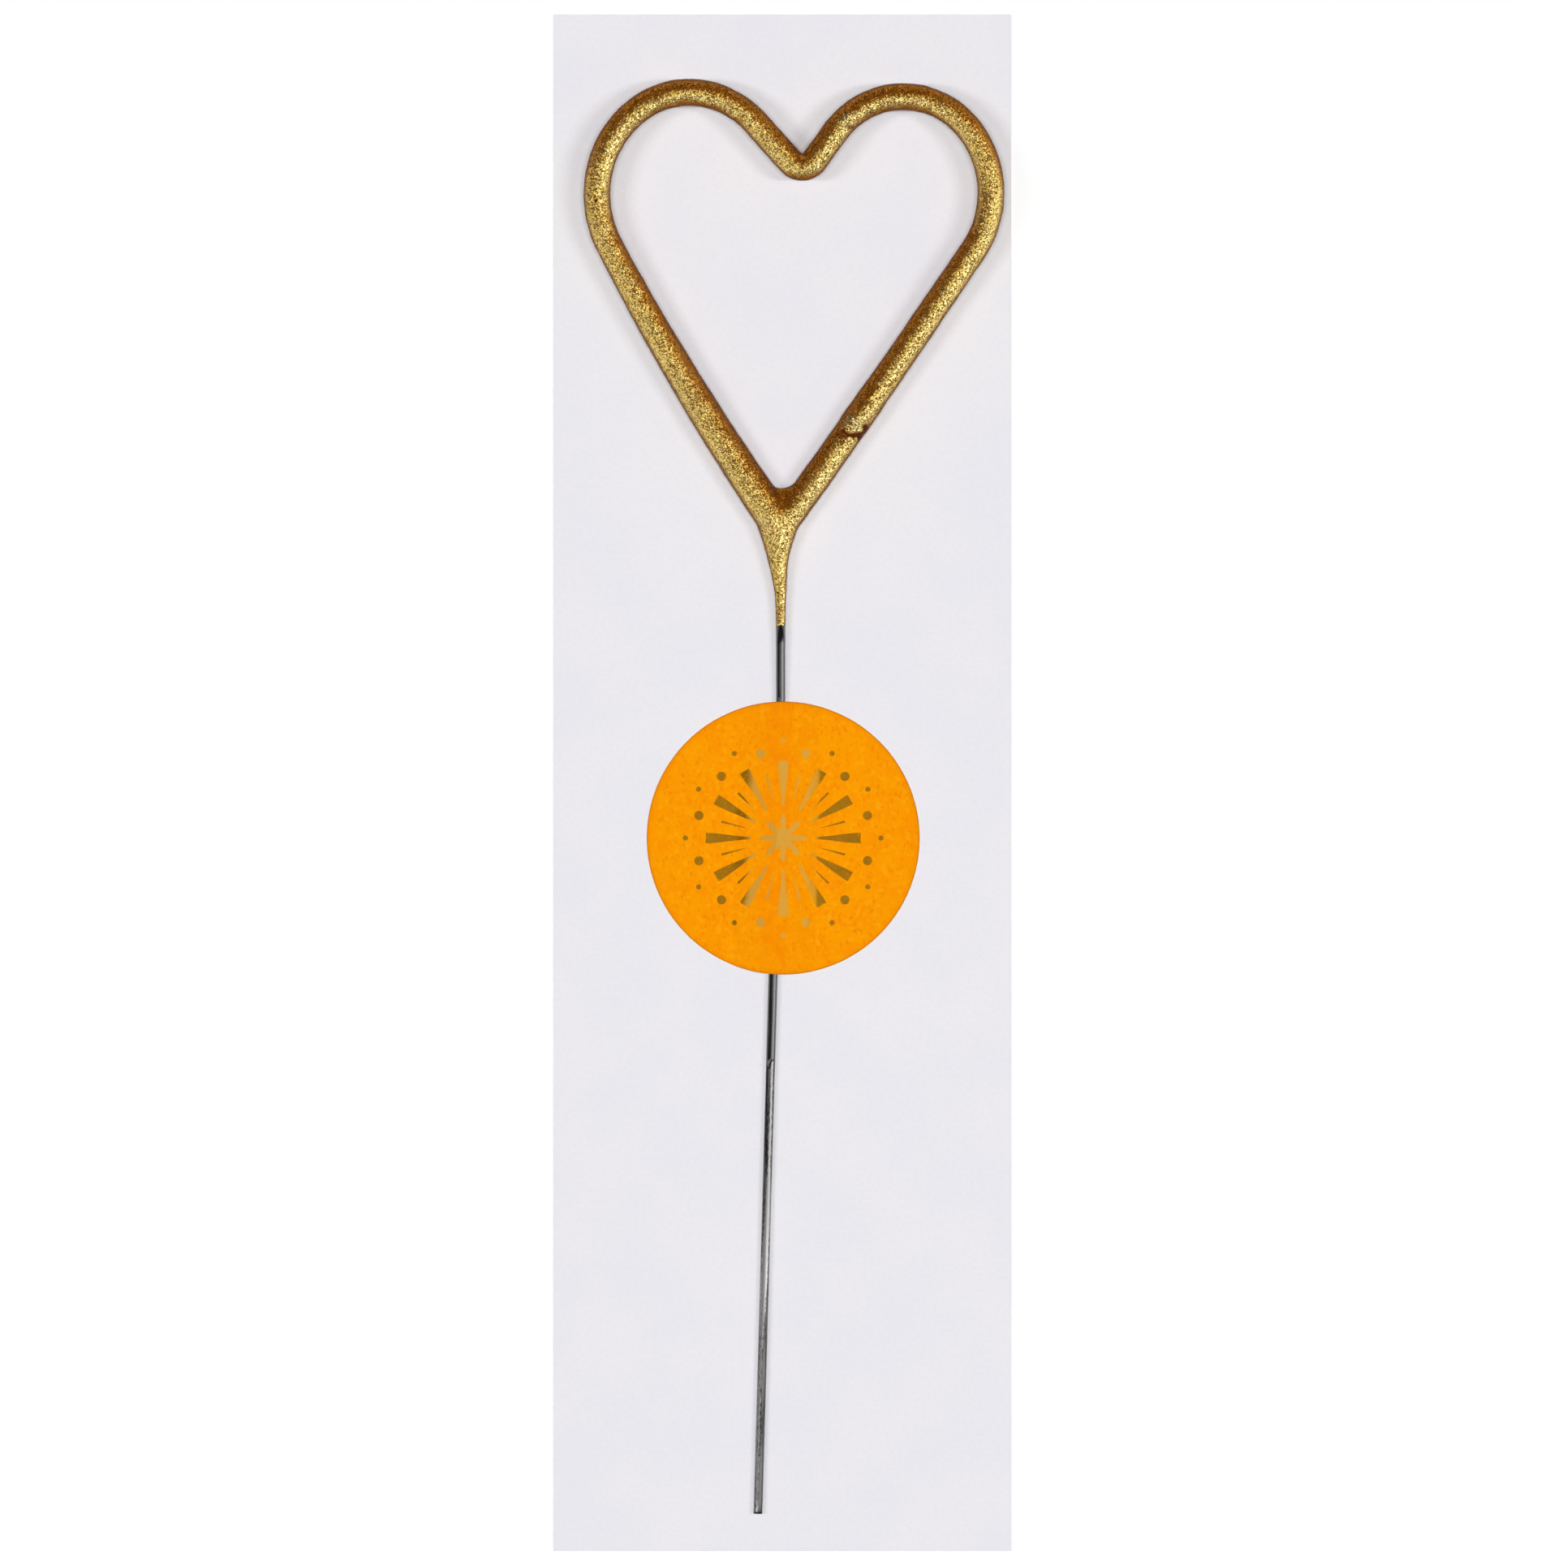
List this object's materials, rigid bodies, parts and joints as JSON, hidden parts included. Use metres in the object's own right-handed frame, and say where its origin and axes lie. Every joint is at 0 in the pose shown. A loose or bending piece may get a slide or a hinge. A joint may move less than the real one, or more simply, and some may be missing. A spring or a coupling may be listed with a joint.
{
  "type": "sparkler",
  "caption": "Heart-shaped gold sparkler on a bent steel wire, held on a tall backing card by a round paper label, with a stem that slides out from under the label.",
  "frame": {"origin": "centre of the back face of the card", "axes": "+Z out of the card's front face, +Y along the card towards the heart, +X to the right seen from the front"},
  "size_m": [0.0746, 0.25, 0.0102],
  "materials": {
    "card": "smooth uncoated board, pale lilac white",
    "label_paper": "bright orange paper with fine fibres and gold foil",
    "gum": "thin clear gum",
    "steel_wire": "drawn wire with lengthwise streaks",
    "dark_film": "thin black film, half gloss",
    "spark_mix": "hard grey grainy crust",
    "gold": "gold flake lacquer, grainy and glittering"
  },
  "bodies": {
    "card_pack": {"backing_card": "card", "label_face": "label_paper", "label_gum": "gum"},
    "sparkler": {"core_wire": "steel_wire", "stem_film": "dark_film", "sparkler_mix": "spark_mix", "gold_coat": "gold"}
  },
  "joints": [
    {"name": "stem_slide", "type": "slide", "parent": "card_pack", "child": "sparkler", "axis": [0.0281, 0.9996, 0], "range_m": [0, 0.135]}
  ]
}
